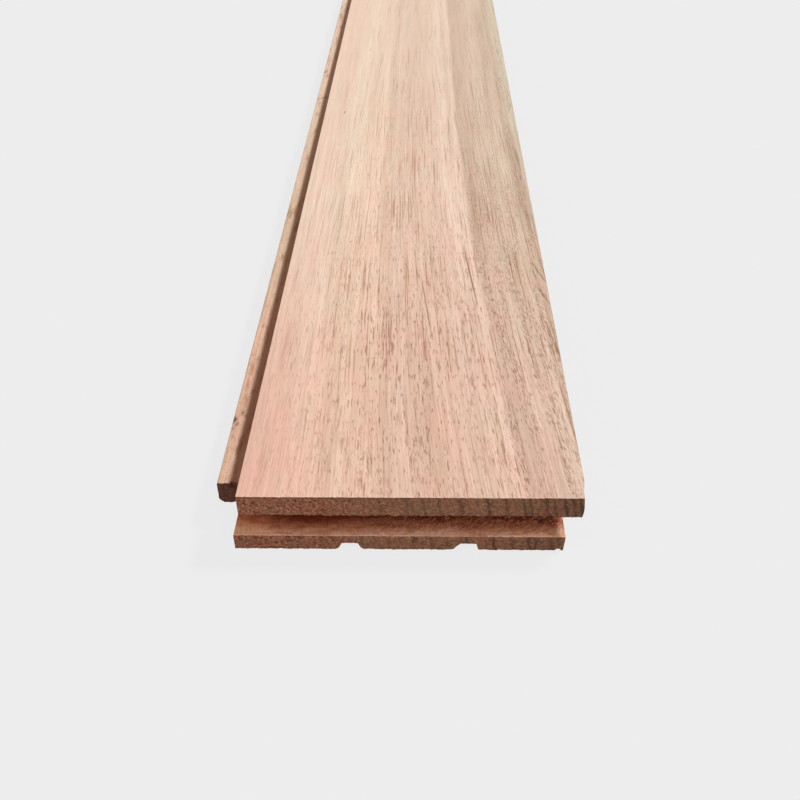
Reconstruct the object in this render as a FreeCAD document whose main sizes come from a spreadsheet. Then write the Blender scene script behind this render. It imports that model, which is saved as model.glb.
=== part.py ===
import FreeCAD, Part
import os
import Sketcher

# Tongue and groove board: one planed strip of solid hardwood, matched on its sides and ends.
# The length runs along Y, with the grooved end at -Y and the tongued end at +Y.
# The side tongue is at -X, the side groove at +X, and the face looks up.
# The origin is under the middle of the board, on the surface that it lies on.

board_sizes = (
    ("face_width", 90.0, "Cover width of the face"),
    ("face_length", 900.0, "Cover length of the face"),
    ("thickness", 19.0, "Board thickness"),
    ("upper_lip", 6.6, "Wood above the grooves"),
    ("lower_lip", 5.0, "Wood below the grooves"),
    ("tongue_projection", 8.0, "Side tongue, out from the face edge"),
    ("fit_clearance", 0.2, "Play above and below a tongue in its groove"),
    ("root_clearance", 0.5, "Play between a tongue tip and the groove root"),
    ("shoulder_offset", 2.3, "Lower shoulder, out from the face edge"),
    ("lip_setback", 4.3, "Lower lip of the side groove, back from the face edge"),
    ("undercut_angle", 4.0, "Back slope of the groove side lips, in degrees"),
    ("end_groove_depth", 12.5, "Depth of the groove across the end"),
    ("tongue_lower_round", 1.6, "Radius under the tongue tips"),
    ("tongue_upper_round", 0.5, "Radius over the tongue tips"),
    ("channel_depth", 2.4, "Depth of the relief channels in the underside"),
    ("channel_crown", 4.2, "Flat crown width of a relief channel"),
    ("left_channel_place", 28.6, "Left channel centre, from the left face edge"),
    ("right_channel_place", 60.2, "Right channel centre, from the left face edge"),
    ("channel_flank", 1.2, "Sideways run of each flank of the left channel"),
    ("inner_flank", 2.2, "Sideways run of the right channel's inner flank"),
    ("outer_flank", 0.6, "Sideways run of the right channel's outer flank"),
    ("mouth_round", 1.5, "Radius where a flank meets the underside"),
    ("cutter_overrun", 3.0, "How far a cutter passes outside the blank"),
)
same_place = 1e-4

doc = FreeCAD.newDocument("tongue_and_groove_board")

sheet = doc.addObject("Spreadsheet::Sheet", "Sizes")
for row, (alias, value, meaning) in enumerate(board_sizes, start=1):
    sheet.set("A%d" % row, meaning)
    sheet.set("B%d" % row, str(value))
    sheet.setAlias("B%d" % row, alias)
doc.recompute()

body = doc.addObject("PartDesign::Body", "Board")
body.Label = "board"

# Lines of the section, across X
face_left = "(Sizes.tongue_projection - Sizes.face_width) / 2"
face_right = "(Sizes.tongue_projection + Sizes.face_width) / 2"
tongue_tip = "-(Sizes.tongue_projection + Sizes.face_width) / 2"
lower_shoulder = face_left + " - Sizes.shoulder_offset"
groove_root = face_right + " - Sizes.tongue_projection - Sizes.root_clearance"
lower_lip_edge = face_right + " - Sizes.lip_setback"
upper_lip_foot = face_right + " - Sizes.upper_lip * tan(Sizes.undercut_angle * 1 deg)"
lower_lip_foot = lower_lip_edge + " - Sizes.lower_lip * tan(Sizes.undercut_angle * 1 deg)"
outside_left = tongue_tip + " - Sizes.cutter_overrun"
outside_right = face_right + " + Sizes.cutter_overrun"

# Levels of the section, up Z
underside = "0"
face = "Sizes.thickness"
groove_floor = "Sizes.lower_lip"
groove_ceiling = "Sizes.thickness - Sizes.upper_lip"
tongue_bottom = groove_floor + " + Sizes.fit_clearance"
tongue_top = groove_ceiling + " - Sizes.fit_clearance"
channel_ceiling = "Sizes.channel_depth"
below = "-Sizes.cutter_overrun"
above = "Sizes.thickness + Sizes.cutter_overrun"

# Lines of the length, along Y
end_tongue_projection = "(Sizes.end_groove_depth - Sizes.root_clearance)"
overall_length = "(Sizes.face_length + " + end_tongue_projection + ")"
near_end = "-" + overall_length + " / 2"
far_end = overall_length + " / 2"
end_groove_root = near_end + " + Sizes.end_groove_depth"
end_shoulder = far_end + " - " + end_tongue_projection
outside_near = near_end + " - Sizes.cutter_overrun"
outside_far = far_end + " + Sizes.cutter_overrun"


def measure(expression):
    return float(sheet.evalExpression(expression))


def origin_plane(role):
    for feature in body.Origin.OriginFeatures:
        if feature.Role == role:
            return feature


def outline_sketch(name, plane, *outlines):
    sketch = body.newObject("Sketcher::SketchObject", name)
    sketch.AttachmentSupport = [(origin_plane(plane), "")]
    sketch.MapMode = "FlatFace"
    for corners in outlines:
        first = sketch.GeometryCount
        points = [FreeCAD.Vector(measure(across), measure(up), 0) for across, up in corners]
        for number, start in enumerate(points):
            sketch.addGeometry(Part.LineSegment(start, points[(number + 1) % len(points)]))
        for number, corner in enumerate(corners):
            line = first + number
            previous = first + (number - 1) % len(corners)
            sketch.addConstraint(Sketcher.Constraint("Coincident", previous, 2, line, 1))
            for kind, expression in zip(("DistanceX", "DistanceY"), corner):
                datum = Sketcher.Constraint(kind, -1, 1, line, 1, measure(expression))
                index = sketch.addConstraint(datum)
                sketch.setExpression("Constraints[%d]" % index, expression)
    doc.recompute()
    return sketch


def pad_blank(name, sketch, length):
    pad = body.newObject("PartDesign::Pad", name)
    pad.Profile = sketch
    pad.SideType = "Symmetric"
    pad.setExpression("Length", length)
    doc.recompute()
    return pad


def cut_through(name, sketch):
    before = body.Shape.Volume
    pocket = body.newObject("PartDesign::Pocket", name)
    pocket.Profile = sketch
    pocket.SideType = "Symmetric"
    pocket.Type = "ThroughAll"
    doc.recompute()
    if body.Shape.Volume > before - 1:
        raise RuntimeError(name + " takes no wood away")
    return pocket


def edges_along(**place):
    wanted = {axis: measure(expression) for axis, expression in place.items()}
    names = []
    for number, edge in enumerate(body.Shape.Edges, start=1):
        ends = [vertex.Point for vertex in edge.Vertexes]
        if all(abs(getattr(end, axis) - wanted[axis]) < same_place for end in ends for axis in wanted):
            names.append("Edge%d" % number)
    return names


def round_edges(name, radius, edges):
    fillet = body.newObject("PartDesign::Fillet", name)
    fillet.Base = (fillet.BaseFeature, edges)
    fillet.setExpression("Radius", radius)
    doc.recompute()
    return fillet


# The planed blank, wide and long enough to take both tongues
blank_section = outline_sketch(
    "BlankSection", "XZ_Plane",
    [(tongue_tip, underside), (face_right, underside), (face_right, face), (tongue_tip, face)])
pad_blank("Blank", blank_section, overall_length)

# Tongue side: one cutter shapes both shoulders round the tongue
tongue_section = outline_sketch(
    "TongueSection", "XZ_Plane",
    [(face_left, above), (face_left, tongue_top), (tongue_tip, tongue_top),
     (tongue_tip, tongue_bottom), (lower_shoulder, tongue_bottom), (lower_shoulder, below),
     (outside_left, below), (outside_left, above)])
cut_through("TongueSide", tongue_section)

# Groove side: the lips slope back from the face edge, and the lower one is set back
groove_section = outline_sketch(
    "GrooveSection", "XZ_Plane",
    [(face_right, face), (upper_lip_foot, groove_ceiling), (groove_root, groove_ceiling),
     (groove_root, groove_floor), (lower_lip_edge, groove_floor), (lower_lip_foot, underside),
     (lower_lip_foot, below), (outside_right, below), (outside_right, face)])
cut_through("GrooveSide", groove_section)


def channel_outline(place, left_flank, right_flank):
    centre = face_left + " + " + place
    crown_left = centre + " - Sizes.channel_crown / 2"
    crown_right = centre + " + Sizes.channel_crown / 2"
    mouth_left = crown_left + " - " + left_flank
    mouth_right = crown_right + " + " + right_flank
    return [(mouth_left, below), (mouth_left, underside), (crown_left, channel_ceiling),
            (crown_right, channel_ceiling), (mouth_right, underside), (mouth_right, below)]


# Relief channels along the underside, with rounded mouths
left_channel = channel_outline("Sizes.left_channel_place", "Sizes.channel_flank", "Sizes.channel_flank")
right_channel = channel_outline("Sizes.right_channel_place", "Sizes.inner_flank", "Sizes.outer_flank")
channel_section = outline_sketch("ChannelSection", "XZ_Plane", left_channel, right_channel)
cut_through("ReliefChannels", channel_section)

# End groove, across the whole width and through the side tongue
end_groove_section = outline_sketch(
    "EndGrooveSection", "YZ_Plane",
    [(outside_near, groove_floor), (end_groove_root, groove_floor),
     (end_groove_root, groove_ceiling), (outside_near, groove_ceiling)])
cut_through("EndGroove", end_groove_section)

# End tongue, left standing between two shoulders in line with each other
end_tongue_section = outline_sketch(
    "EndTongueSection", "YZ_Plane",
    [(end_shoulder, above), (end_shoulder, tongue_top), (far_end, tongue_top),
     (far_end, tongue_bottom), (end_shoulder, tongue_bottom), (end_shoulder, below),
     (outside_far, below), (outside_far, above)])
cut_through("EndTongue", end_tongue_section)

# Rounded tongue tips, fuller below, so that the board drops into the one already laid
lower_tips = edges_along(x=tongue_tip, z=tongue_bottom) + edges_along(y=far_end, z=tongue_bottom)
round_edges("LowerTips", "Sizes.tongue_lower_round", lower_tips)
upper_tips = edges_along(x=tongue_tip, z=tongue_top) + edges_along(y=far_end, z=tongue_top)
round_edges("UpperTips", "Sizes.tongue_upper_round", upper_tips)

mouths = [left_channel[1], left_channel[4], right_channel[1]]
mouth_edges = [edge for across, up in mouths for edge in edges_along(x=across, z=up)]
round_edges("ChannelMouths", "Sizes.mouth_round", mouth_edges)

doc.recompute()
for item in doc.Objects:
    if "Invalid" in item.State or "Error" in item.State:
        raise RuntimeError(item.Label + " did not build")
if body.Shape.isNull() or not body.Shape.isValid() or len(body.Shape.Solids) != 1:
    raise RuntimeError("The board is not one sound solid")

os.makedirs("parts", exist_ok=True)
body.Shape.exportStep(os.path.join("parts", body.Label + ".step"))
print("board", [round(size, 2) for size in (
    body.Shape.BoundBox.XLength, body.Shape.BoundBox.YLength, body.Shape.BoundBox.ZLength)])
print("volume in cubic centimetres", round(body.Shape.Volume / 1000, 1))
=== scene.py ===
import bpy
import math
import random
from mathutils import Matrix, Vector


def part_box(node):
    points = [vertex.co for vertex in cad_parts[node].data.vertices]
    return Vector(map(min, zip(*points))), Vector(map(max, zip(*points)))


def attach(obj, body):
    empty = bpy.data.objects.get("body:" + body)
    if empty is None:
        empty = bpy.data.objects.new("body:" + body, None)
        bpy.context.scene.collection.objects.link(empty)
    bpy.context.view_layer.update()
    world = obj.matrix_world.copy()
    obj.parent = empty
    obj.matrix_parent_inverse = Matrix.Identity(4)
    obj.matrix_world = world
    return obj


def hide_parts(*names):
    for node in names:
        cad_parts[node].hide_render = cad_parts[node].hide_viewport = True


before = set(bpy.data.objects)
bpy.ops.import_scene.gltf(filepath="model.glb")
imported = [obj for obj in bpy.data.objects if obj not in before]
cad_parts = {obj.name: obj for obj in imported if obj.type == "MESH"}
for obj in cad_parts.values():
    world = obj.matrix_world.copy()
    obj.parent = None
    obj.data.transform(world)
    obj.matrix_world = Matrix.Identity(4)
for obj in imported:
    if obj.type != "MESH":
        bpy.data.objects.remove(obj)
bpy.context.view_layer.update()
print("frame loaded, nodes:", sorted(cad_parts))

mm = 0.001
low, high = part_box("board")

# Edges of the strip that the looks follow, at the same places as those of the solid
strip = {
    "nearEnd": low.y,
    "farEnd": high.y,
    "faceTop": high.z,
    "faceRight": high.x,
    "faceLeft": high.x - 90 * mm,
    "tongueTip": low.x,
    "lipRight": high.x - 4.3 * mm,      # lower lip of the side groove
    "grooveFloor": 5.0 * mm,
    "grooveCeiling": 12.4 * mm,
    "tongueTop": 12.2 * mm,
    "sideGrooveRoot": high.x - 8.5 * mm,
    "endGrooveRoot": low.y + 12.5 * mm,
    "endShoulder": high.y - 12 * mm,
}

# Settings that many nodes share
smooth = {"interpolation_type": "SMOOTHSTEP"}
blended = {"data_type": "RGBA"}
multiplied = {"data_type": "RGBA", "blend_type": "MULTIPLY"}
noiseMiddle = 0.5


def linearColour(hexCode):
    channels = [int(hexCode[i:i + 2], 16) / 255 for i in (0, 2, 4)]
    return [c / 12.92 if c <= 0.04045 else ((c + 0.055) / 1.055) ** 2.4 for c in channels] + [1.0]


# Adds a node with its settings and its inputs, and gives its output.
# The inputs are a list in the node's order, or a dictionary.
def addNode(tree, kind, inputs=(), **settings):
    node = tree.nodes.new(kind if kind.startswith("Node") else "ShaderNode" + kind)
    for name, value in settings.items():
        setattr(node, name, value)
    for key, value in inputs.items() if isinstance(inputs, dict) else enumerate(inputs):
        if isinstance(value, bpy.types.NodeSocket):
            tree.links.new(value, node.inputs[key])
        else:
            node.inputs[key].default_value = value
    return next((socket for socket in node.outputs if socket.enabled), None)


def deselectAll():
    if bpy.context.object and bpy.context.object.mode != "OBJECT":
        bpy.ops.object.mode_set(mode="OBJECT")
    bpy.ops.object.select_all(action="DESELECT")


def pick(piece):
    deselectAll()
    piece.select_set(True)
    bpy.context.view_layer.objects.active = piece


# Board: a merged copy of the solid, gridded in section and cut closely by its sawn ends, which get frayed
boardShape = {
    "acrossStep": 0.3 * mm,
    "upStep": 0.3 * mm,
    "tipInset": 0.2 * mm,       # the cuts across start this far inside the tongue's tip
    "nearCuts": (0.2, 0.4, 0.7, 1.1, 1.6, 2.2, 3, 4, 5, 6, 7, 8, 9, 10, 11, 12, 13.5, 16, 20),
    "farCuts": (0.3, 0.7, 1.2, 2, 3, 4.5, 6, 8, 10, 11.5, 12.4, 13, 14, 16, 20),
    "weldGap": 0.01 * mm,       # joins the loose triangles of the solid
    "mergeGap": 0.04 * mm,      # takes up the slivers that the cuts leave
    "flatAngle": 0.5,
    "smoothAngle": 38,
}


def copyOfSolid():
    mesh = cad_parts["board"].data.copy()
    board = bpy.data.objects.new("matched_board", mesh)
    bpy.context.scene.collection.objects.link(board)
    pick(board)
    bpy.ops.object.mode_set(mode="EDIT")
    bpy.ops.mesh.select_all(action="SELECT")
    bpy.ops.mesh.customdata_custom_splitnormals_clear()
    bpy.ops.mesh.remove_doubles(threshold=boardShape["weldGap"])
    bpy.ops.mesh.normals_make_consistent(inside=False)
    bpy.ops.mesh.dissolve_limited(angle_limit=math.radians(boardShape["flatAngle"]))
    bpy.ops.object.mode_set(mode="OBJECT")
    return board


def cutAcross(axis, places):
    normal = [float(name == axis) for name in "XYZ"]
    for place in places:
        bpy.ops.mesh.select_all(action="SELECT")
        bpy.ops.mesh.bisect(plane_co=[place * part for part in normal], plane_no=normal)


def steps(start, stop, step):
    count = round((stop - start) / step)
    return [start + step * n for n in range(1, count)]


def gridEnds(board):
    pick(board)
    bpy.ops.object.mode_set(mode="EDIT")
    bpy.ops.mesh.select_mode(type="VERT")
    firstCut = strip["tongueTip"] + boardShape["tipInset"]
    cutAcross("X", steps(firstCut, strip["faceRight"], boardShape["acrossStep"]))
    cutAcross("Z", steps(0, strip["faceTop"], boardShape["upStep"]))
    cutAcross("Y", [strip["nearEnd"] + cut * mm for cut in boardShape["nearCuts"]])
    cutAcross("Y", [strip["farEnd"] - cut * mm for cut in boardShape["farCuts"]])
    bpy.ops.mesh.select_all(action="SELECT")
    bpy.ops.mesh.remove_doubles(threshold=boardShape["mergeGap"])
    bpy.ops.object.mode_set(mode="OBJECT")
    print("board gridded,", len(board.data.polygons), "faces")


board = copyOfSolid()
gridEnds(board)

# Camera at the photograph's place, the image taken as 800 by 800
photoCamera = {
    "place": (8.4 * mm, -631.9 * mm, 186.4 * mm),
    "turn": (52.353, 0.953, 1.400),
    "lens": 42.61,
    "sensor": 36,
    "clipStart": 0.01,
}


def makeCamera():
    cameraData = bpy.data.cameras.new("photoCamera")
    cameraData.lens = photoCamera["lens"]
    cameraData.sensor_width = photoCamera["sensor"]
    cameraData.clip_start = photoCamera["clipStart"]
    camera = bpy.data.objects.new("photoCamera", cameraData)
    camera.location = photoCamera["place"]
    camera.rotation_euler = [math.radians(angle) for angle in photoCamera["turn"]]
    bpy.context.scene.collection.objects.link(camera)
    bpy.context.scene.camera = camera


# Studio: pale floor, a dome of even light, a soft lamp high behind the right side and a broad one in front
studio = {
    "paleGrey": "EDEDED",
    "bounceGrey": "A6A6A4",
    "floorSize": 14.0,
    "floorDrop": 0.15 * mm,
    "shadowShare": 0.07,
    "domeLight": 0.08,
}
lamps = {
    # where the lamp stands, how wide it looks in degrees, how much light it lays on the floor
    "key lamp": ((0.69, 0.40, 1.0), 8.0, 0.57),
    "front fill": ((-0.15, -1.0, 0.75), 120.0, 0.34),
}


def seenRays(tree):
    rays = addNode(tree, "LightPath").node.outputs
    seen = addNode(tree, "Math", [rays["Is Camera Ray"], rays["Is Glossy Ray"]], operation="MAXIMUM")
    return addNode(tree, "Math", [seen, rays["Is Transmission Ray"]], operation="MAXIMUM")


# Matt studio paper: an even pale ground that keeps a faint shadow
def makeFloor():
    deselectAll()
    bpy.ops.mesh.primitive_plane_add(size=studio["floorSize"], location=(0, 0, -studio["floorDrop"]))
    floor = bpy.context.object
    floor.name = "studio_floor"
    material = bpy.data.materials.new("pale studio paper")
    material.use_nodes = True
    tree = material.node_tree
    tree.nodes.clear()
    pale = linearColour(studio["paleGrey"])
    seen = seenRays(tree)
    paper = addNode(tree, "Mix", {0: seen, 6: linearColour(studio["bounceGrey"]), 7: pale}, **blended)
    matte = addNode(tree, "BsdfDiffuse", [paper])
    even = addNode(tree, "Emission", [pale, 1.0])
    share = addNode(tree, "Math", [seen, 1 - studio["shadowShare"]], operation="MULTIPLY")
    addNode(tree, "OutputMaterial", [addNode(tree, "MixShader", [share, matte, even])])
    floor.data.materials.append(material)


def makeDome():
    world = bpy.data.worlds.new("studio dome")
    world.use_nodes = True
    tree = world.node_tree
    tree.nodes.clear()
    dome = addNode(tree, "Background", [(1, 1, 1, 1), studio["domeLight"]])
    pale = addNode(tree, "Background", [linearColour(studio["paleGrey"]), 1.0])
    addNode(tree, "OutputWorld", [addNode(tree, "MixShader", [seenRays(tree), dome, pale])])
    bpy.context.scene.world = world


def makeLamps():
    for name, ((right, back, height), width, onFloor) in lamps.items():
        lampData = bpy.data.lights.new(name, "SUN")
        flat = math.hypot(right, back)
        lampData.energy = onFloor * math.pi * math.hypot(flat, height) / height
        lampData.angle = math.radians(width)
        lamp = bpy.data.objects.new(name, lampData)
        lamp.rotation_euler = (math.atan2(flat, height), 0, math.atan2(back, right) + math.pi / 2)
        bpy.context.scene.collection.objects.link(lamp)


makeCamera()
makeFloor()
makeDome()
makeLamps()
bpy.context.scene.view_settings.view_transform = "Standard"
print("studio set")

# Grain of the strip, laid out in millimetres from the near left corner of its face.
# A range says where a change starts and ends, and what it goes from and to.
grain = {
    "swing": 15.0,          # the grain runs out to the right at the near end
    "swingFade": 160.0,
    "swingTo": 75.0,
    "layerTilt": 0.28,      # growth layers lean in the section
    "wander": 2.2,
    "wanderCell": (24, 120, 24),
    "bandEdge": 59.6,       # a browner band starts here and runs to the groove side
    "bandBlur": 0.7,
    "poreLean": 0.16,       # short pores lie a little across the grain
    "ringGap": 2.4,
    "ringDrift": 6.0,
    "ringFrom": 0.2,
    "tongueSide": (11.0, 25.0),             # where the tones of that side go over into the middle
    "sparse": (4.0, 30.0, 0.4, 1.0),        # pores and threads are fewer by the tongue side
    "even": (10.0, 32.0, 0.8, 1.0),         # and the fibres calmer
    "porous": (70.0, 190.0, 1.0, 0.5),      # open pores thin out along the strip
    "calm": (130.0, 400.0, 1.0, 0.45),      # and the figure gets calmer
    "lively": (560.0, 680.0),               # both come back towards the far end
}

# Size of one noise cell across, along and through the wood in millimetres, then detail and roughness
grainNoise = {
    "broad": (8.0, 220.0, 14.0, 2.0, 0.5),
    "blush": (6.0, 20.0, 6.0, 2.0, 0.5),
    "ribbon": (1.9, 120.0, 4.0, 3.0, 0.65),
    "fibre": (0.36, 26.0, 0.36, 2.0, 0.6),      # coarser than real so that it shows
    "streak": (0.5, 46.0, 0.5, 1.0, 0.5),
    "patch": (3.2, 48.0, 6.0, 2.0, 0.55),
    "drift": (6.0, 160.0, 30.0, 2.0, 0.5),
    "long pore": (0.44, 9.0, 0.44, 2.0, 0.6),
    "fine pore": (0.40, 4.2, 0.40, 1.0, 0.5),
    "short pore": (0.42, 2.7, 0.42, 2.0, 0.6),
}


def perCell(sizes):
    return [1 / size for size in sizes]


# Growth layers: they lean in the section, wander, and swing to the right towards the near end
def growthLayers(tree, lie):
    fade = addNode(tree, "Math", [lie["along"], -1 / grain["swingFade"]], operation="MULTIPLY")
    fade = addNode(tree, "Math", [fade], operation="EXPONENT")
    swing = addNode(tree, "MapRange", [lie["across"], 0, grain["swingTo"], 0, -grain["swing"]], **smooth)
    layer = addNode(tree, "Math", [fade, swing, lie["across"]], operation="MULTIPLY_ADD")
    layer = addNode(tree, "Math", [lie["up"], grain["layerTilt"], layer], operation="MULTIPLY_ADD")
    slow = addNode(tree, "VectorMath", [lie["place"], perCell(grain["wanderCell"])], operation="MULTIPLY")
    slow = addNode(tree, "TexNoise", {"Vector": slow, "Scale": 1.0})
    slow = addNode(tree, "Math", [slow, noiseMiddle], operation="SUBTRACT")
    return addNode(tree, "Math", [slow, grain["wander"], layer], operation="MULTIPLY_ADD")


# Where the brown band is, and how crowded, porous and calm the wood is
def grainShares(tree, lie):
    edge = grain["bandEdge"]
    blur = grain["bandBlur"]
    lie["band"] = addNode(tree, "MapRange", [lie["layer"], edge - blur, edge + blur], **smooth)
    lie["sparse"] = addNode(tree, "MapRange", [lie["layer"], *grain["sparse"]])
    lively = addNode(tree, "MapRange", [lie["along"], *grain["lively"]], **smooth)
    for name in ("porous", "calm"):
        share = addNode(tree, "MapRange", [lie["along"], *grain[name]], **smooth)
        lie[name] = addNode(tree, "Math", [share, lively], operation="MAXIMUM")


def grainNoises(tree, lie):
    askew = addNode(tree, "Math", [lie["along"], grain["poreLean"], lie["layer"]], operation="MULTIPLY_ADD")
    noise = {}
    for name, (*cell, detail, rough) in grainNoise.items():
        spot = [askew if name == "short pore" else lie["layer"], lie["along"], lie["up"]]
        spot = addNode(tree, "CombineXYZ", spot)
        spot = addNode(tree, "VectorMath", [spot, perCell(cell)], operation="MULTIPLY")
        inputs = {"Vector": spot, "Scale": 1.0, "Detail": detail, "Roughness": rough}
        noise[name] = addNode(tree, "TexNoise", inputs)
    return noise


def growthRings(tree, lie, noise):
    drift = [noise["drift"], grain["ringDrift"], lie["layer"]]
    rings = addNode(tree, "Math", drift, operation="MULTIPLY_ADD")
    rings = addNode(tree, "Math", [rings, 2 * math.pi / grain["ringGap"]], operation="MULTIPLY")
    rings = addNode(tree, "Math", [rings], operation="SINE")
    return addNode(tree, "MapRange", [rings, grain["ringFrom"], 1.0], **smooth)


# Spread of the pores, and where in its noise each kind of dash starts and is full
poreSpread = {
    "crowd": (0.34, 0.62),                  # patches where pores stand close
    "byEnd": (15.0, 60.0, 0.5, 0.0),        # along: short pores by the near end
    "clear": (49.6, 55.6, 1.0, 0.3),        # across: fewer of those in front of the brown band
    "inBand": (110.0, 240.0, 1.0, 0.45),    # along: short pores in the band thin out
    "streaky": (70.0, 78.0),                # across: from here long dashes keep their strength
    "streakyShort": 0.75,                   # and this share of the short ones is left
}
poreDashes = {
    "long pore": (0.54, 0.65),
    "fine pore": (0.60, 0.72),
    "short pore": (0.512, 0.615),
}


# Pores: dashes all over, fewer by the tongue, short leaning ones in the brown band and by the near end
def openPores(tree, lie, noise):
    crowd = addNode(tree, "MapRange", [noise["patch"], *poreSpread["crowd"]], **smooth)
    crowd = addNode(tree, "Math", [crowd, lie["sparse"]], operation="MULTIPLY")
    leaning = addNode(tree, "MapRange", [lie["along"], *poreSpread["byEnd"]], **smooth)
    clear = addNode(tree, "MapRange", [lie["layer"], *poreSpread["clear"]])
    leaning = addNode(tree, "Math", [leaning, clear], operation="MULTIPLY")
    dotted = addNode(tree, "MapRange", [lie["along"], *poreSpread["inBand"]], **smooth)
    dotted = addNode(tree, "Math", [dotted, lie["band"]], operation="MULTIPLY")
    streaky = addNode(tree, "MapRange", [lie["layer"], *poreSpread["streaky"]], **smooth)
    plain = addNode(tree, "MapRange", [streaky, 0.0, 1.0, 1.0, poreSpread["streakyShort"]])
    dotted = addNode(tree, "Math", [dotted, plain], operation="MULTIPLY")
    dashed = addNode(tree, "Math", [streaky, lie["porous"]], operation="MAXIMUM")
    leaning = addNode(tree, "Math", [leaning, dotted], operation="MAXIMUM")
    limits = {
        "long pore": (crowd, dashed),
        "fine pore": (lie["sparse"], lie["porous"]),
        "short pore": (crowd, leaning),
    }
    pores = 0.0
    for name, dashRange in poreDashes.items():
        dash = addNode(tree, "MapRange", [noise[name], *dashRange], **smooth)
        for limit in limits[name]:
            dash = addNode(tree, "Math", [dash, limit], operation="MULTIPLY")
        pores = addNode(tree, "Math", [dash, pores], operation="MAXIMUM")
    return pores


# Gum lines and steep runs of grain in the face: from, to, width, strength
gumLines = (
    ((66.0, 91.0), (62.1, 134.0), 0.42, 0.85),
    ((50.6, 74.0), (47.2, 109.0), 0.40, 0.75),
    ((48.7, 60.0), (48.3, 72.0), 0.90, 0.45),
    ((70.2, 12.0), (69.4, 24.0), 0.50, 0.60),
    ((89.8, 107.0), (85.9, 122.0), 0.45, 0.80),
    ((89.8, 93.0), (86.4, 105.0), 0.40, 0.80),
    ((89.9, 62.0), (87.2, 84.0), 0.45, 0.70),
    ((90.0, 20.0), (88.0, 52.0), 0.40, 0.60),
    ((85.6, 145.0), (86.4, 250.0), 5.00, 0.22),
    ((79.0, 235.0), (79.0, 460.0), 6.00, 0.20),
    ((9.3, 265.0), (9.3, 268.0), 0.55, 0.70),
    ((17.1, 359.0), (17.0, 362.5), 0.50, 0.60),
)
gumEnds = (0.6, 1.1)        # a line fades out here, in shares of its half length
gumDepth = (-1.5, -0.8)     # and under the face


def gumMarks(tree, lie):
    gum = 0.0
    for (fromX, fromY), (toX, toY), width, dark in gumLines:
        middle = addNode(tree, "MapRange", [lie["along"], fromY, toY, fromX, toX], clamp=False)
        aside = addNode(tree, "Math", [lie["across"], middle], operation="SUBTRACT")
        aside = addNode(tree, "Math", [aside], operation="ABSOLUTE")
        line = addNode(tree, "MapRange", [aside, 0.0, width, dark, 0.0], **smooth)
        half = (toY - fromY) / 2
        beyond = addNode(tree, "Math", [lie["along"], fromY + half], operation="SUBTRACT")
        beyond = addNode(tree, "Math", [beyond], operation="ABSOLUTE")
        ends = addNode(tree, "MapRange", [beyond, half * gumEnds[0], half * gumEnds[1], 1.0, 0.0], **smooth)
        line = addNode(tree, "Math", [line, ends], operation="MULTIPLY")
        gum = addNode(tree, "Math", [line, gum], operation="MAXIMUM")
    skin = addNode(tree, "MapRange", [lie["up"], *gumDepth])
    return addNode(tree, "Math", [gum, skin], operation="MULTIPLY")


# Tones of this wood, and the bands that they make across the face from the tongue side to the groove side
woodTones = {
    "rose": "EBBCA7",
    "cream": "EDC6AE",
    "tan": "E8C2AC",
    "cinnamon": "E2BAA3",
    "pale": "EEC9B4",
    "brown": "DDB8A3",
    "sand": "E6C5AF",
    "umber": "D6B49D",
    "straw": "DEC4AE",
}
toneWidth = 92.0
toneAcross = (
    (0.0, "rose"), (8.0, "rose"), (20.0, "cream"), (28.5, "cream"), (31.5, "cinnamon"), (35.0, "tan"),
    (42.0, "cinnamon"), (50.0, "tan"), (53.0, "pale"), (56.5, "tan"), (59.0, "pale"), (60.4, "brown"),
    (67.0, "brown"), (74.0, "sand"), (79.0, "sand"), (82.5, "umber"), (86.0, "straw"))

# Gains of the tones: pink fades to straw along the strip, sooner by the tongue side, and in patches
toneGains = {
    "tongue side": (1.04, 1.26, 1.27, 1),
    "middle": (1.015, 1.145, 1.16, 1),
    "brown band": (0.94, 1.03, 1.01, 1),
    "pinker": (1.016, 0.981, 0.985, 1),
    "yellower": (0.984, 1.019, 1.014, 1),
    "patches": (0.34, 0.66),
}
paleFrom = 10.0
paleTo = {"tongue side": 150.0, "middle": 320.0, "brown band": 210.0}


def setStops(ramp, stops):
    elements = ramp.node.color_ramp.elements
    while len(elements) < len(stops):
        elements.new(1.0)
    for element, (position, tone) in zip(elements, stops):
        element.position = position
        element.color = linearColour(tone)


def bandTones(tree, lie, noise):
    tones = addNode(tree, "Math", [lie["layer"], 1 / toneWidth], operation="MULTIPLY")
    tones = addNode(tree, "ValToRGB", [tones])
    setStops(tones, [(place / toneWidth, woodTones[tone]) for place, tone in toneAcross])
    inner = addNode(tree, "MapRange", [lie["layer"], *grain["tongueSide"]], **smooth)
    straw = addNode(tree, "Mix", {0: inner, 6: toneGains["tongue side"], 7: toneGains["middle"]}, **blended)
    straw = addNode(tree, "Mix", {0: lie["band"], 6: straw, 7: toneGains["brown band"]}, **blended)
    until = addNode(tree, "MapRange", [inner, 0, 1, paleTo["tongue side"], paleTo["middle"]])
    until = addNode(tree, "MapRange", [lie["band"], 0, 1, until, paleTo["brown band"]])
    pale = addNode(tree, "MapRange", [lie["along"], paleFrom, until])
    wood = addNode(tree, "Mix", {0: pale, 6: tones, 7: straw}, **multiplied)
    blush = addNode(tree, "MapRange", [noise["blush"], *toneGains["patches"]], **smooth)
    blush = addNode(tree, "Mix", {0: blush, 6: toneGains["pinker"], 7: toneGains["yellower"]}, **blended)
    return addNode(tree, "Mix", {0: lie["calm"], 6: wood, 7: blush}, **multiplied)


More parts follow.
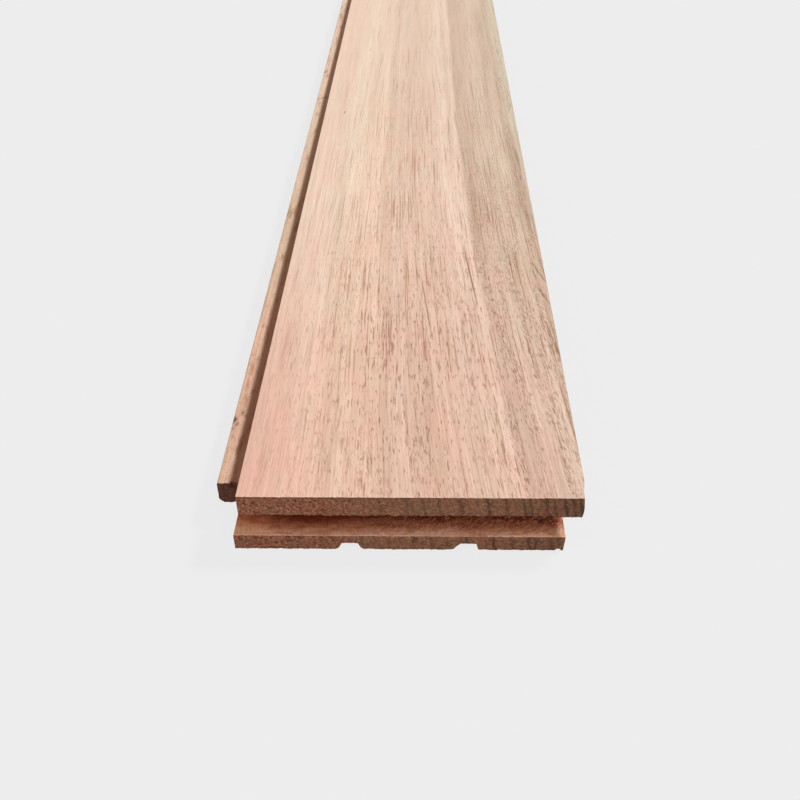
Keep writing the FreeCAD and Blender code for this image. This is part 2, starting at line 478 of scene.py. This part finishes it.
# Fine marks: fibres, long dark threads, growth layers by the groove side, pores and gum
fineMarks = {
    "fibreShares": (("fibre", 1.0), ("ribbon", 1.05), ("broad", 0.8)),
    "fibreReach": 0.4,
    "darker": (0.78, 0.72, 0.673, 1),
    "lighter": (1.15, 1.19, 1.23, 1),
    "threads": (0.57, 0.69, 0.0, 0.75),
    "threadsAlong": (20.0, 75.0, 0.45, 1.0),
    "ringsAcross": (72.0, 87.0, 0.0, 0.22),
    "poreShare": 0.75,
    "threadTone": "C1A590",
    "ringTone": "C6B6A8",
    "poreTone": "A98A74",
    "gumTone": "A47860",
}


def fibreShade(tree, lie, noise):
    level = 0.0
    for name, share in fineMarks["fibreShares"]:
        lightness = addNode(tree, "Math", [noise[name], noiseMiddle], operation="SUBTRACT")
        level = addNode(tree, "Math", [lightness, share, level], operation="MULTIPLY_ADD")
    even = addNode(tree, "MapRange", [lie["layer"], *grain["even"]])
    for limit in (lie["calm"], even):
        level = addNode(tree, "Math", [level, limit], operation="MULTIPLY")
    level = addNode(tree, "MapRange", [level, -fineMarks["fibreReach"], fineMarks["fibreReach"]])
    return addNode(tree, "Mix", {0: level, 6: fineMarks["darker"], 7: fineMarks["lighter"]}, **blended)


def drawMarks(tree, wood, lie, noise, pores):
    shade = fibreShade(tree, lie, noise)
    wood = addNode(tree, "Mix", {0: 1.0, 6: wood, 7: shade}, **multiplied)
    threads = addNode(tree, "MapRange", [noise["streak"], *fineMarks["threads"]], **smooth)
    inside = addNode(tree, "MapRange", [lie["along"], *fineMarks["threadsAlong"]], **smooth)
    side = addNode(tree, "MapRange", [lie["across"], *fineMarks["ringsAcross"]], **smooth)
    for mark, limits, tone in (
            (threads, (lie["sparse"], inside, lie["calm"]), fineMarks["threadTone"]),
            (growthRings(tree, lie, noise), (side, lie["calm"]), fineMarks["ringTone"]),
            (pores, (lie["calm"], fineMarks["poreShare"]), fineMarks["poreTone"]),
            (gumMarks(tree, lie), (), fineMarks["gumTone"])):
        for limit in limits:
            mark = addNode(tree, "Math", [mark, limit], operation="MULTIPLY")
        wood = addNode(tree, "Mix", {0: mark, 6: wood, 7: linearColour(tone)}, **multiplied)
    return wood


def makeFigure():
    tree = bpy.data.node_groups.new("hardwood figure", "ShaderNodeTree")
    for name, kind in (("Colour", "Color"), ("Pores", "Float"), ("Fibre", "Float"), ("Place", "Vector")):
        tree.interface.new_socket(name, in_out="OUTPUT", socket_type="NodeSocket" + kind)
    spot = addNode(tree, "TexCoord").node.outputs["Object"]
    corner = [-strip[side] / mm for side in ("faceLeft", "nearEnd", "faceTop")]
    place = addNode(tree, "VectorMath", [spot, [1 / mm] * 3, corner], operation="MULTIPLY_ADD")
    across, along, up = addNode(tree, "SeparateXYZ", [place]).node.outputs
    lie = {"place": place, "across": across, "along": along, "up": up}
    lie["layer"] = growthLayers(tree, lie)
    grainShares(tree, lie)
    noise = grainNoises(tree, lie)
    pores = openPores(tree, lie, noise)
    wood = drawMarks(tree, bandTones(tree, lie, noise), lie, noise, pores)
    outputs = {"Colour": wood, "Pores": pores, "Fibre": noise["fibre"], "Place": place}
    addNode(tree, "NodeGroupOutput", outputs)
    return tree


figure = makeFigure()
print("figure drawn,", len(figure.nodes), "nodes")

woodIor = 1.48


def startWood(name):
    material = bpy.data.materials.new(name)
    material.use_nodes = True
    material.node_tree.nodes.clear()
    wood = addNode(material.node_tree, "Group", node_tree=figure).node.outputs
    return material, material.node_tree, wood


# Ends a wood with its shader, and with a relief where it has a height for it
def finishWood(material, tint, roughness, height=None, relief=(0, 0)):
    tree = material.node_tree
    skin = {"Base Color": tint, "Roughness": roughness, "IOR": woodIor}
    if height is not None:
        depth, share = relief
        inputs = {"Height": height, "Distance": depth * mm, "Strength": share}
        skin["Normal"] = addNode(tree, "Bump", inputs)
    addNode(tree, "OutputMaterial", [addNode(tree, "BsdfPrincipled", skin)])
    return material


# Lays marks of a pattern over a tint: the part of the pattern, where in it a mark starts and is full,
# how much of it, the part that limits it, and its tone
def layMarks(tree, tint, pattern, marks):
    for name, start, full, most, limit, tone in marks:
        amount = addNode(tree, "MapRange", [pattern[name], start, full, 0.0, most], **smooth)
        amount = addNode(tree, "Math", [amount, pattern[limit] if limit else 1.0], operation="MULTIPLY")
        tint = addNode(tree, "Mix", {0: amount, 6: tint, 7: linearColour(tone)}, **blended)
    return tint


planedFace = {
    "roughness": (0.56, 0.72),
    "relief": (0.06, 0.7),      # depth in millimetres and share
}


# Raw hardwood, planed: silky matt, pink tan, with dark open pores along the grain
def planedHardwood():
    material, tree, wood = startWood("planed red hardwood")
    height = addNode(tree, "Math", [wood["Pores"], -1.0, wood["Fibre"]], operation="MULTIPLY_ADD")
    dull = addNode(tree, "MapRange", [wood["Fibre"], 0.0, 1.0, *planedFace["roughness"]])
    return finishWood(material, wood["Colour"], dull, height, planedFace["relief"])


plainBack = {
    "tint": "E6DCD2",
    "pitch": 3.2,               # of the cutter marks in millimetres
    "fibreShare": 2.0,
    "roughness": 0.78,
    "relief": (0.035, 0.8),     # deeper than real so that the marks show
}


# The same planed quickly, for the side that lies down: duller, with the ripple that the cutters leave
def planedBack():
    material, tree, wood = startWood("planed hardwood back")
    along = addNode(tree, "SeparateXYZ", [wood["Place"]]).node.outputs["Y"]
    ripple = addNode(tree, "Math", [along, 2 * math.pi / plainBack["pitch"]], operation="MULTIPLY")
    ripple = addNode(tree, "Math", [ripple], operation="SINE")
    ripple = [wood["Fibre"], plainBack["fibreShare"], ripple]
    ripple = addNode(tree, "Math", ripple, operation="MULTIPLY_ADD")
    tint = linearColour(plainBack["tint"])
    tint = addNode(tree, "Mix", {0: 1.0, 6: wood["Colour"], 7: tint}, **multiplied)
    return finishWood(material, tint, plainBack["roughness"], ripple, plainBack["relief"])


# Dirt on the top of the side tongue: place across and along, radius and strength
dirtSpots = (
    (-7.7, 40.2, 1.1, 0.90), (-6.5, 38.2, 0.8, 0.55), (-5.6, 43.3, 0.8, 0.50), (-4.6, 42.0, 0.7, 0.40),
    (-6.9, 32.5, 0.7, 0.35), (-4.2, 54.0, 0.9, 0.35), (-6.0, 90.5, 0.9, 0.35), (-7.0, 303.0, 0.9, 0.40),
    (-5.2, 304.2, 1.1, 0.50), (-3.8, 305.4, 1.1, 0.60), (-2.7, 306.2, 0.9, 0.50))
dirtShape = {
    "length": 2.0,          # a spot is this much longer along the tongue than across it
    "spill": 0.5,           # the less of this, the further it runs down the tip
    "raggedScale": 1.2,
    "ragged": 2.0,
    "core": 0.2,
}


def dirtOnTongue(tree, place):
    level = (strip["tongueTop"] - strip["faceTop"]) / mm * dirtShape["spill"]
    stretch = (1, 1 / dirtShape["length"], dirtShape["spill"])
    laid = addNode(tree, "VectorMath", [place, stretch], operation="MULTIPLY")
    inputs = {"Vector": place, "Scale": dirtShape["raggedScale"], "Detail": 3.0, "Roughness": 0.7}
    ragged = addNode(tree, "TexNoise", inputs)
    ragged = addNode(tree, "Math", [ragged, noiseMiddle], operation="SUBTRACT")
    spots = 0.0
    for x, y, radius, dark in dirtSpots:
        middle = (x, y / dirtShape["length"], level)
        away = addNode(tree, "VectorMath", [laid, middle], operation="DISTANCE").node.outputs["Value"]
        away = addNode(tree, "Math", [ragged, dirtShape["ragged"] * radius, away], operation="MULTIPLY_ADD")
        spot = addNode(tree, "MapRange", [away, dirtShape["core"] * radius, radius, dark, 0.0], **smooth)
        spots = addNode(tree, "Math", [spot, spots], operation="MAXIMUM")
    return spots


milled = {
    "smudgeCell": (2.5, 14, 2.5),
    "smudges": (0.50, 0.72),
    "pepperCell": 0.7,
    "pepper": (0.62, 0.72, 0.0, 0.4),
    "corner": (-5.2, -3.6),             # across: painted shade, darker in the corner over the side tongue and inside the side groove
    "shoulderBlur": 5,
    "nearTone": "F1F7EC",               # yellower by the sawn end
    "alongTones": ((22.0, 36.0, "EBE5DB"), (150.0, 330.0, "F6F5EF")),
    "tones": {"corner": "B59884", "end tongue": "E0D3C7", "smudges": "CBB5A5", "pepper": "8C6C58",
              "spots": "705848"},
    "roughness": 0.74,
    "relief": (0.15, 0.6),
}


# Edges left by the moulding cutters: duller and browner than the face, a little dirty from handling, with
# painted shade in the corner over the side tongue and inside the side groove
def milledEdge():
    material, tree, wood = startWood("milled hardwood edge")
    lie = addNode(tree, "SeparateXYZ", [wood["Place"]]).node.outputs
    perSmudge = perCell(milled["smudgeCell"])
    smudge = addNode(tree, "VectorMath", [wood["Place"], perSmudge], operation="MULTIPLY")
    smudge = addNode(tree, "TexNoise", {"Vector": smudge, "Scale": 1.0, "Detail": 4.0, "Roughness": 0.65})
    pepperScale = 1 / milled["pepperCell"]
    pepper = addNode(tree, "TexNoise", {"Vector": wood["Place"], "Scale": pepperScale, "Detail": 1.0})
    # painted shade: the corner tone darkens the tongue by its shoulder and the faces inside the side groove,
    # but not the end tongue
    corner = addNode(tree, "MapRange", [lie["X"], *milled["corner"]], **smooth)
    shoulder = (strip["endShoulder"] - strip["nearEnd"]) / mm
    blur = milled["shoulderBlur"]
    endTongue = addNode(tree, "MapRange", [lie["Y"], shoulder - blur, shoulder + blur], **smooth)
    amounts = {
        "corner": addNode(tree, "Math", [corner, endTongue], operation="SUBTRACT", use_clamp=True),
        "end tongue": endTongue,
        "smudges": addNode(tree, "MapRange", [smudge, *milled["smudges"]], **smooth),
        "pepper": addNode(tree, "MapRange", [pepper, *milled["pepper"]], **smooth),
        "spots": dirtOnTongue(tree, wood["Place"]),
    }
    bare = linearColour(milled["nearTone"])
    for start, full, tone in milled["alongTones"]:
        farther = addNode(tree, "MapRange", [lie["Y"], start, full])
        bare = addNode(tree, "Mix", {0: farther, 6: bare, 7: linearColour(tone)}, **blended)
    tint = addNode(tree, "Mix", {0: 1.0, 6: wood["Colour"], 7: bare}, **multiplied)
    for name, tone in milled["tones"].items():
        tint = addNode(tree, "Mix", {0: amounts[name], 6: tint, 7: linearColour(tone)}, **multiplied)
    return finishWood(material, tint, milled["roughness"], smudge, milled["relief"])


# Dark growth layers that show in the end grain: place across the face, width and strength
endLayers = (
    (36.5, 0.9, 0.4), (43.5, 1.4, 0.4), (48.0, 1.0, 0.45), (52.2, 0.9, 0.5), (57.5, 1.5, 0.55),
    (64.6, 0.8, 0.9), (69.3, 1.2, 0.5), (73.8, 0.8, 0.75), (75.5, 0.7, 0.7), (79.6, 1.1, 0.65),
    (81.6, 0.9, 0.55), (84.3, 0.8, 0.9), (86.5, 0.9, 0.75), (88.4, 0.8, 0.95), (90.0, 0.7, 0.8))
endGrain = {
    # size of each speck in millimetres, detail and swirl, the grit coarser than real so that it shows
    "specks": {"cloud": (9.0, 2.0, 0.0), "clump": (2.6, 2.0, 0.0), "grit": (0.85, 3.0, 0.3),
               "broken": (1.8, 3.0, 0.3)},
    "speckRoughness": 0.7,
    "scoreLean": 0.45,                      # scratches of the saw
    "scoreCell": (0.7, 3, 6),
    "cloudSway": 26.0,
    "greyer": (34.0, 54.0),                 # across: greyer from here
    "coarse": (0.0, 1.0, 1.0, 0.6),         # and less coarse
    "clumped": (0.35, 0.6, 0.5, 1.0),
    "layerLean": 0.15,
    "layerSway": 2.4,
    "worn": (0.38, 0.62, 1.0, 0.75),
    "burrSway": 2.2,
    "burred": (40.0, 62.0, 0.8, 0.3),       # across
    "closeTo": 40.0,                        # along: what counts as by the near end
    "leftTone": "A06246",
    "rightTone": "9D674B",
    "roughness": 0.85,
    "relief": (0.3, 0.8),
    "marks": (
        ("cloud", 0.52, 0.68, 0.4, None, "86684A"),         # olive and
        ("cloud", 0.48, 0.34, 0.35, None, "8E4A2E"),        # rusty stains
        ("score", 0.50, 0.36, 0.45, "greyer", "6B4A34"),    # scratches of the saw
        ("clump", 0.45, 0.65, 0.2, "greyer", "7A623C"),     # olive clouds
        ("broken", 0.46, 0.34, 0.4, "greyer", "4E321C"),    # dark blots
        ("grit", 0.51, 0.40, 0.9, "clumped", "4A2414"),     # open pores
        ("grit", 0.53, 0.65, 0.7, "clumped", "CC9A7A"),     # raised fibre ends
        ("layers", 0.0, 0.9, 0.9, "worn", "3A2212"),        # growth layers
        ("burr", 0.5, 1.0, 1.0, "burred", "5A2A18"),        # dark ragged line under the face
        ("across", 62.0, 86.0, 0.3, None, "4A2A14"),        # darker by the groove side
        ("along", 4.0, 9.0, 0.7, "close", "2A0A00")),       # and painted shade deep in the end groove, on the tongue's end and the groove's root
}


def endGrainLayers(tree, across, up, broken):
    lie = addNode(tree, "Math", [up, endGrain["layerLean"], across], operation="MULTIPLY_ADD")
    lie = addNode(tree, "Math", [broken, endGrain["layerSway"], lie], operation="MULTIPLY_ADD")
    layers = 0.0
    for middle, width, dark in endLayers:
        aside = addNode(tree, "Math", [lie, middle + endGrain["layerSway"] / 2], operation="SUBTRACT")
        aside = addNode(tree, "Math", [aside], operation="ABSOLUTE")
        line = addNode(tree, "MapRange", [aside, 0.0, width, dark, 0.0], **smooth)
        layers = addNode(tree, "Math", [line, layers], operation="MAXIMUM")
    return layers


def sawScores(tree, across, along, up):
    score = addNode(tree, "Math", [up, endGrain["scoreLean"], across], operation="MULTIPLY_ADD")
    score = addNode(tree, "CombineXYZ", [score, along, up])
    score = addNode(tree, "VectorMath", [score, perCell(endGrain["scoreCell"])], operation="MULTIPLY")
    return addNode(tree, "TexNoise", {"Vector": score, "Scale": 1.0, "Detail": 2.0})


# The same wood cut across: thirsty, darker and browner, grainy, with the growth layers as dark lines
def sawnEndGrain():
    material, tree, wood = startWood("sawn end grain")
    across, along, up = addNode(tree, "SeparateXYZ", [wood["Place"]]).node.outputs
    pattern = {"across": across, "along": along, "score": sawScores(tree, across, along, up)}
    for name, (size, detail, swirl) in endGrain["specks"].items():
        inputs = {"Vector": wood["Place"], "Scale": 1 / size, "Detail": detail,
                  "Roughness": endGrain["speckRoughness"], "Distortion": swirl}
        pattern[name] = addNode(tree, "TexNoise", inputs)
    grit = pattern["grit"]
    side = [pattern["cloud"], endGrain["cloudSway"], across]
    side = addNode(tree, "Math", side, operation="MULTIPLY_ADD")
    greyer = addNode(tree, "MapRange", [side, *endGrain["greyer"]], **smooth)
    coarse = addNode(tree, "MapRange", [greyer, *endGrain["coarse"]])
    clumped = addNode(tree, "MapRange", [pattern["clump"], *endGrain["clumped"]], **smooth)
    pattern["greyer"] = greyer
    pattern["clumped"] = addNode(tree, "Math", [clumped, coarse], operation="MULTIPLY")
    pattern["layers"] = endGrainLayers(tree, across, up, pattern["broken"])
    pattern["worn"] = addNode(tree, "MapRange", [grit, *endGrain["worn"]], **smooth)
    pattern["burr"] = addNode(tree, "Math", [grit, endGrain["burrSway"], up], operation="MULTIPLY_ADD")
    pattern["burred"] = addNode(tree, "MapRange", [across, *endGrain["burred"]], **smooth)
    # by the near end only, where painted shade darkens the end grain deep in the end groove
    pattern["close"] = addNode(tree, "Math", [along, endGrain["closeTo"]], operation="LESS_THAN")
    left = linearColour(endGrain["leftTone"])
    right = linearColour(endGrain["rightTone"])
    tint = addNode(tree, "Mix", {0: greyer, 6: left, 7: right}, **blended)
    tint = layMarks(tree, tint, pattern, endGrain["marks"])
    return finishWood(material, tint, endGrain["roughness"], grit, endGrain["relief"])


tornWood = {
    "slant": -42,                           # degrees that the wisps lie across the grain
    # size of one noise cell in millimetres
    "cells": {"scores": (0.42, 9.0, 0.42), "wisps": (1.4, 0.55, 0.55), "blots": (6.0, 2.5, 4.0)},
    "ragged": (16.0, 46.0, -0.6, 0.3),      # across: torn from here
    "leftLight": (4.0, 9.5, -2.4, 0.0),     # across: painted light, paler by both open ends of the groove
    "rightLight": (82.0, 85.5, 0.0, -3.0),
    "fluffSway": 5.0,
    "blotSway": 9.0,
    "deep": (1.5, 4.0),                     # along
    "inward": (2.8, 9.8),                   # along: from the front tone to the root's, a painted gradient from light in front to shade under the lip
    "paintedLightToShadeTones": ((0.0, "FFCAA8"), (0.42, "DE9068"), (1.0, "963C0C")),
    # painted light: paler by the left open end; a greyer, darker tone tames the painted light by the right
    # open end
    "leftTone": ((2.0, 12.0, 0.8, 0.0), "FFEBD4"),
    "rightTone": ((79.0, 85.0, 0.0, 1.0), "DAD2CC"),
    "spotPlace": (79.8, 6.0),               # a dark spot, across and along
    "spotSway": 2.0,
    "roughness": 0.85,
    "relief": (0.4, 0.8),
    "marks": (
        ("wisps", 0.49, 0.39, 0.75, "deep", "6A2C10"),
        ("wisps", 0.54, 0.62, 0.95, "ragged", "F0BA96"),
        ("scores", 0.5, 0.38, 0.24, None, "8A4020"),
        ("blots", 0.5, 0.64, 0.18, None, "B0562E"),
        ("spot", 2.4, 1.4, 0.85, None, "3A140A")),
}


def tornPattern(tree, place, across, along):
    slant = math.radians(tornWood["slant"])
    slanted = addNode(tree, "VectorRotate", {"Vector": place, "Angle": slant}, rotation_type="Z_AXIS")
    pattern = {}
    for name, cell in tornWood["cells"].items():
        lie = slanted if name == "wisps" else place
        lie = addNode(tree, "VectorMath", [lie, perCell(cell)], operation="MULTIPLY")
        inputs = {"Vector": lie, "Scale": 1.0, "Detail": 3.0, "Roughness": 0.65, "Distortion": 0.8}
        pattern[name] = addNode(tree, "TexNoise", inputs)
    ragged = addNode(tree, "MapRange", [across, *tornWood["ragged"]])
    ragged = addNode(tree, "Math", [pattern["blots"], ragged], operation="ADD", use_clamp=True)
    deep = addNode(tree, "MapRange", [along, *tornWood["deep"]])
    level = (strip["grooveFloor"] - strip["faceTop"]) / mm
    middle = (*tornWood["spotPlace"], level)
    spot = addNode(tree, "VectorMath", [place, middle], operation="DISTANCE").node.outputs["Value"]
    pattern["ragged"] = ragged
    pattern["deep"] = addNode(tree, "Math", [deep, ragged], operation="MULTIPLY")
    pattern["spot"] = addNode(tree, "Math", [pattern["wisps"], tornWood["spotSway"], spot],
                              operation="MULTIPLY_ADD")
    pattern["fluff"] = addNode(tree, "Mix", {0: ragged, 2: pattern["scores"], 3: pattern["wisps"]})
    return pattern


# Floor of the end groove, cut across the grain: scored, with torn wisps; painted light makes it pale in
# front and by the open ends, painted shade makes it dark at the root
def tornGroove():
    material, tree, wood = startWood("torn groove wood")
    lie = addNode(tree, "SeparateXYZ", [wood["Place"]]).node.outputs
    pattern = tornPattern(tree, wood["Place"], lie["X"], lie["Y"])
    # painted light and shade: the tint runs from pale in front and by the open ends to dark towards the root
    # under the lip
    inward = addNode(tree, "Math", [pattern["fluff"], tornWood["fluffSway"], lie["Y"]],
                     operation="MULTIPLY_ADD")
    for name in ("leftLight", "rightLight"):
        paintedEndLight = addNode(tree, "MapRange", [lie["X"], *tornWood[name]], **smooth)
        inward = addNode(tree, "Math", [inward, paintedEndLight], operation="ADD")
    uneven = addNode(tree, "Math", [pattern["blots"], noiseMiddle], operation="SUBTRACT")
    inward = addNode(tree, "Math", [uneven, tornWood["blotSway"], inward], operation="MULTIPLY_ADD")
    inward = addNode(tree, "MapRange", [inward, *tornWood["inward"]])
    tint = addNode(tree, "ValToRGB", [inward])
    setStops(tint, tornWood["paintedLightToShadeTones"])
    for name in ("leftTone", "rightTone"):
        across, tone = tornWood[name]
        amount = addNode(tree, "MapRange", [lie["X"], *across], **smooth)
        tint = addNode(tree, "Mix", {0: amount, 6: tint, 7: linearColour(tone)}, **multiplied)
    tint = layMarks(tree, tint, pattern, tornWood["marks"])
    return finishWood(material, tint, tornWood["roughness"], pattern["fluff"], tornWood["relief"])


looseFibre = {
    "darker": "A46A48",
    "lighter": "D29A74",
    "roughness": 0.85,
}


# Loose fibre ends: pale, fuzzy, raw wood
def tornStrand():
    material, tree, wood = startWood("torn wood fibre")
    darker = linearColour(looseFibre["darker"])
    lighter = linearColour(looseFibre["lighter"])
    tint = addNode(tree, "Mix", {0: wood["Fibre"], 6: darker, 7: lighter}, **blended)
    return finishWood(material, tint, looseFibre["roughness"])


# Coats of the board, in the order of its material slots
coats = {
    "face": planedHardwood,
    "edge": milledEdge,
    "end grain": sawnEndGrain,
    "groove": tornGroove,
    "back": planedBack,
}
coatSlots = {name: number for number, name in enumerate(coats)}
coatLimits = {
    "hair": 0.1 * mm,
    "endward": 0.6,         # a face that turns this far towards an end is end grain
    "downward": -0.1,
}


def coatFor(face):
    spot = face.center
    hair = coatLimits["hair"]
    underCeiling = spot.z < strip["grooveCeiling"] + hair
    if abs(face.normal.y) > coatLimits["endward"]:
        return "end grain"
    if spot.z < strip["grooveFloor"] / 2 and face.normal.z < coatLimits["downward"]:
        return "back"
    if spot.z > strip["grooveFloor"] - hair and underCeiling and spot.y < strip["endGrooveRoot"]:
        return "groove"
    onTongue = spot.x < strip["faceLeft"] - hair or spot.y > strip["endShoulder"] + hair
    inSideGroove = spot.x > strip["sideGrooveRoot"] - hair and underCeiling
    return "edge" if onTongue or inSideGroove else "face"


def coatBoard(board):
    board.data.materials.clear()
    for makeCoat in coats.values():
        board.data.materials.append(makeCoat())
    for face in board.data.polygons:
        face.material_index = coatSlots[coatFor(face)]


coatBoard(board)
print("materials laid")

# Spans of the worn places, across, along and up
wide = (strip["tongueTip"], strip["faceRight"])
tongueWide = (strip["tongueTip"], strip["faceLeft"])
lipWide = (strip["tongueTip"], strip["sideGrooveRoot"])
right = (strip["faceRight"], strip["faceRight"])
near = (strip["nearEnd"], strip["nearEnd"])
nearGroove = (strip["nearEnd"], strip["endGrooveRoot"])
grooveRoot = (strip["endGrooveRoot"], strip["endGrooveRoot"])
shoulder = (strip["endShoulder"], strip["endShoulder"])
far = (strip["farEnd"], strip["farEnd"])
whole = (strip["nearEnd"], strip["farEnd"])
foot = (0, 0)
floor = (strip["grooveFloor"], strip["grooveFloor"])
ceiling = (strip["grooveCeiling"], strip["grooveCeiling"])
groove = (strip["grooveFloor"], strip["grooveCeiling"])
tongueTop = (strip["tongueTop"], strip["tongueTop"])
top = (strip["faceTop"], strip["faceTop"])
thick = (0, strip["faceTop"])

# Worn and frayed places: a core box, then in millimetres the pushes, how far they fade around the core,
# and the size of the noise that frays them. A place with a coat shows that coat.
wear = {
    "sawn near end": {"core": (wide, near, thick), "push": {"Y": 0.2}, "fade": 0.05, "noise": 0.6},
    "near face arris": {"core": (wide, near, top), "push": {"Y": 0.35, "Z": -0.25},
                        "fade": 0.8, "noise": 0.8},
    "lip arris": {"core": (lipWide, near, ceiling), "push": {"Y": 0.4, "Z": 0.3}, "fade": 0.9, "noise": 0.8},
    "floor arris": {"core": (wide, near, floor), "push": {"Y": 0.45, "Z": -0.35}, "fade": 0.9, "noise": 0.9},
    "near foot arris": {"core": (wide, near, foot), "push": {"Y": 0.25, "Z": 0.08},
                        "fade": 0.7, "noise": 0.9},
    "torn floor": {"core": (wide, nearGroove, floor), "push": {"Z": -0.35}, "fade": 0.05, "noise": 0.9},
    "tongue end": {"core": (tongueWide, grooveRoot, groove), "push": {"Y": 0.4}, "fade": 0.7, "noise": 0.9},
    "tongue end arris": {"core": (tongueWide, grooveRoot, tongueTop), "push": {"Y": 0.5, "Z": -0.4},
                         "fade": 1.0, "noise": 0.7},
    "far shoulder arris": {"core": (wide, shoulder, top), "push": {"Y": -0.35, "Z": -0.25},
                           "fade": 1.0, "noise": 0.9},
    "far end": {"core": (wide, far, thick), "push": {"Y": -0.35}, "fade": 0.8, "noise": 0.7},
    "lip foot": {"core": (right, whole, ceiling), "push": {"X": -0.3}, "fade": 3.2, "noise": 0},
    "knocked corner": {"core": (right, (strip["nearEnd"], strip["nearEnd"] + 2.5 * mm),
                                (strip["faceTop"] - 0.4 * mm, strip["faceTop"])),
                       "push": {"X": -0.65}, "fade": 4.2, "noise": 0},
    "foot chip": {"core": ((strip["lipRight"] - 1.7 * mm, strip["lipRight"] - 1.5 * mm), near, foot),
                  "push": {"Z": 0.9, "Y": 0.4}, "fade": 0.75, "noise": 0},
    "tongue nick": {"core": ((strip["tongueTip"] + 4.1 * mm, strip["tongueTip"] + 4.6 * mm),
                             (strip["endGrooveRoot"], strip["endGrooveRoot"] + 0.4 * mm),
                             (strip["tongueTop"] - 0.5 * mm, strip["tongueTop"])),
                    "push": {"Z": -1.4, "Y": 0.9}, "fade": 1.1, "noise": 0, "coat": "end grain"},
}
fray = {
    "detail": 2,
    "contrast": 1.7,
    "coatShare": 0.7,       # a coat reaches this share of the fade
}


def gapTo(core, spot):
    return math.hypot(*[max(start - part, part - stop, 0) for part, (start, stop) in zip(spot, core)])


def pushPlace(board, name, axis, depth, noise):
    press = board.modifiers.new(name + " " + axis, "DISPLACE")
    press.vertex_group = name
    press.direction = axis
    press.strength = depth * mm
    press.mid_level = 0
    if noise:
        rough = bpy.data.textures.new(name + " " + axis, "CLOUDS")
        rough.noise_scale = noise * mm
        rough.noise_depth = fray["detail"]
        rough.contrast = fray["contrast"]
        rough.use_clamp = True
        press.texture = rough
        press.texture_coords = "LOCAL"
    bpy.ops.object.modifier_apply(modifier=press.name)


def wearBoard(board):
    pick(board)
    for name, place in wear.items():
        group = board.vertex_groups.new(name=name)
        fade = place["fade"] * mm
        for vertex in board.data.vertices:
            gap = gapTo(place["core"], vertex.co)
            if gap < fade:
                group.add([vertex.index], 1 - gap / fade, "REPLACE")
        for face in board.data.polygons if "coat" in place else ():
            if gapTo(place["core"], face.center) < fade * fray["coatShare"]:
                face.material_index = coatSlots[place["coat"]]
        for axis, depth in place["push"].items():
            pushPlace(board, name, axis, depth, place["noise"])
    bpy.ops.object.vertex_group_remove(all=True)
    print("ends worn,", len(wear), "places")


wearBoard(board)

# Torn strands: one curved splinter of wood, copied over the floor of the end groove and under the lip
strand = {
    "thick": 0.2 * mm,
    "sides": 5,
    # forward and up in millimetres, and taper
    "bends": ((0.3, 0.05, 1.2), (0.3, 0.08, 1.0), (0.3, 0.02, 0.8), (0.25, -0.05, 0.6), (0.2, -0.07, 0.3)),
    "seed": 7,
    "size": (0.6, 1.3),
    "turn": (40, 22),               # mean and spread in degrees, to either side
    "roll": (-40, 40),
    "wide": (0.8, 1.6),
    "high": (0.8, 1.4),
    "reach": 1.4,                   # a strand stays inside the end by its reach and this margin
    "margin": 0.5,
    "leftFree": 34 * mm,            # the groove is clean on both sides
    "rightFree": 4 * mm,
}
strandPlaces = {
    # how many, how far in from the end in millimetres, level, mean tilt in degrees and its spread
    "floor": (70, (0.5, 4.5), strip["grooveFloor"] - 0.12 * mm, (-4, 6)),
    "lip": (20, (0.0, 0.4), strip["grooveCeiling"] + 0.05 * mm, (14, 6)),
}


def makeStrand():
    deselectAll()
    bpy.ops.mesh.primitive_circle_add(vertices=strand["sides"], radius=strand["thick"] / 2, fill_type="NGON",
                                      rotation=(0, math.radians(90), 0))
    piece = bpy.context.object
    bpy.ops.object.transform_apply(location=False, rotation=True, scale=False)
    bpy.ops.object.mode_set(mode="EDIT")
    bpy.ops.mesh.select_all(action="SELECT")
    for forward, lift, taper in strand["bends"]:
        bpy.ops.mesh.extrude_region_move(TRANSFORM_OT_translate={"value": (forward * mm, 0, lift * mm)})
        bpy.ops.transform.resize(value=(1, taper, taper))
    bpy.ops.mesh.select_all(action="SELECT")
    bpy.ops.mesh.normals_make_consistent(inside=False)
    bpy.ops.object.mode_set(mode="OBJECT")
    piece.data.materials.append(tornStrand())
    return piece


def layStrand(first, dice, inwardRange, level, tilt):
    piece = first.copy()
    piece.data = first.data.copy()
    bpy.context.scene.collection.objects.link(piece)
    size = dice.uniform(*strand["size"])
    turn = math.radians(dice.gauss(*strand["turn"]) + dice.choice((0, 180)))
    inward = strand["reach"] * size * abs(math.sin(turn)) + strand["margin"] + dice.uniform(*inwardRange)
    across = dice.uniform(strip["faceLeft"] + strand["leftFree"], strip["lipRight"] - strand["rightFree"])
    piece.location = (across, strip["nearEnd"] + inward * mm, level)
    roll = math.radians(dice.uniform(*strand["roll"]))
    piece.rotation_euler = (roll, math.radians(dice.gauss(*tilt)), turn)
    piece.scale = (size, dice.uniform(*strand["wide"]), dice.uniform(*strand["high"]))
    return piece


def tearGroove(board):
    dice = random.Random(strand["seed"])
    first = makeStrand()
    pieces = []
    for count, *place in strandPlaces.values():
        pieces += [layStrand(first, dice, *place) for copy in range(count)]
    pick(board)
    for piece in pieces:
        piece.select_set(True)
    bpy.ops.object.join()
    bpy.data.objects.remove(first)
    print("groove torn,", len(pieces), "strands")


tearGroove(board)
pick(board)
bpy.ops.object.shade_smooth_by_angle(angle=math.radians(boardShape["smoothAngle"]))
board.data.calc_loop_triangles()
print("board finished,", len(board.data.loop_triangles), "triangles")

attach(board, "root")
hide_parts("board")
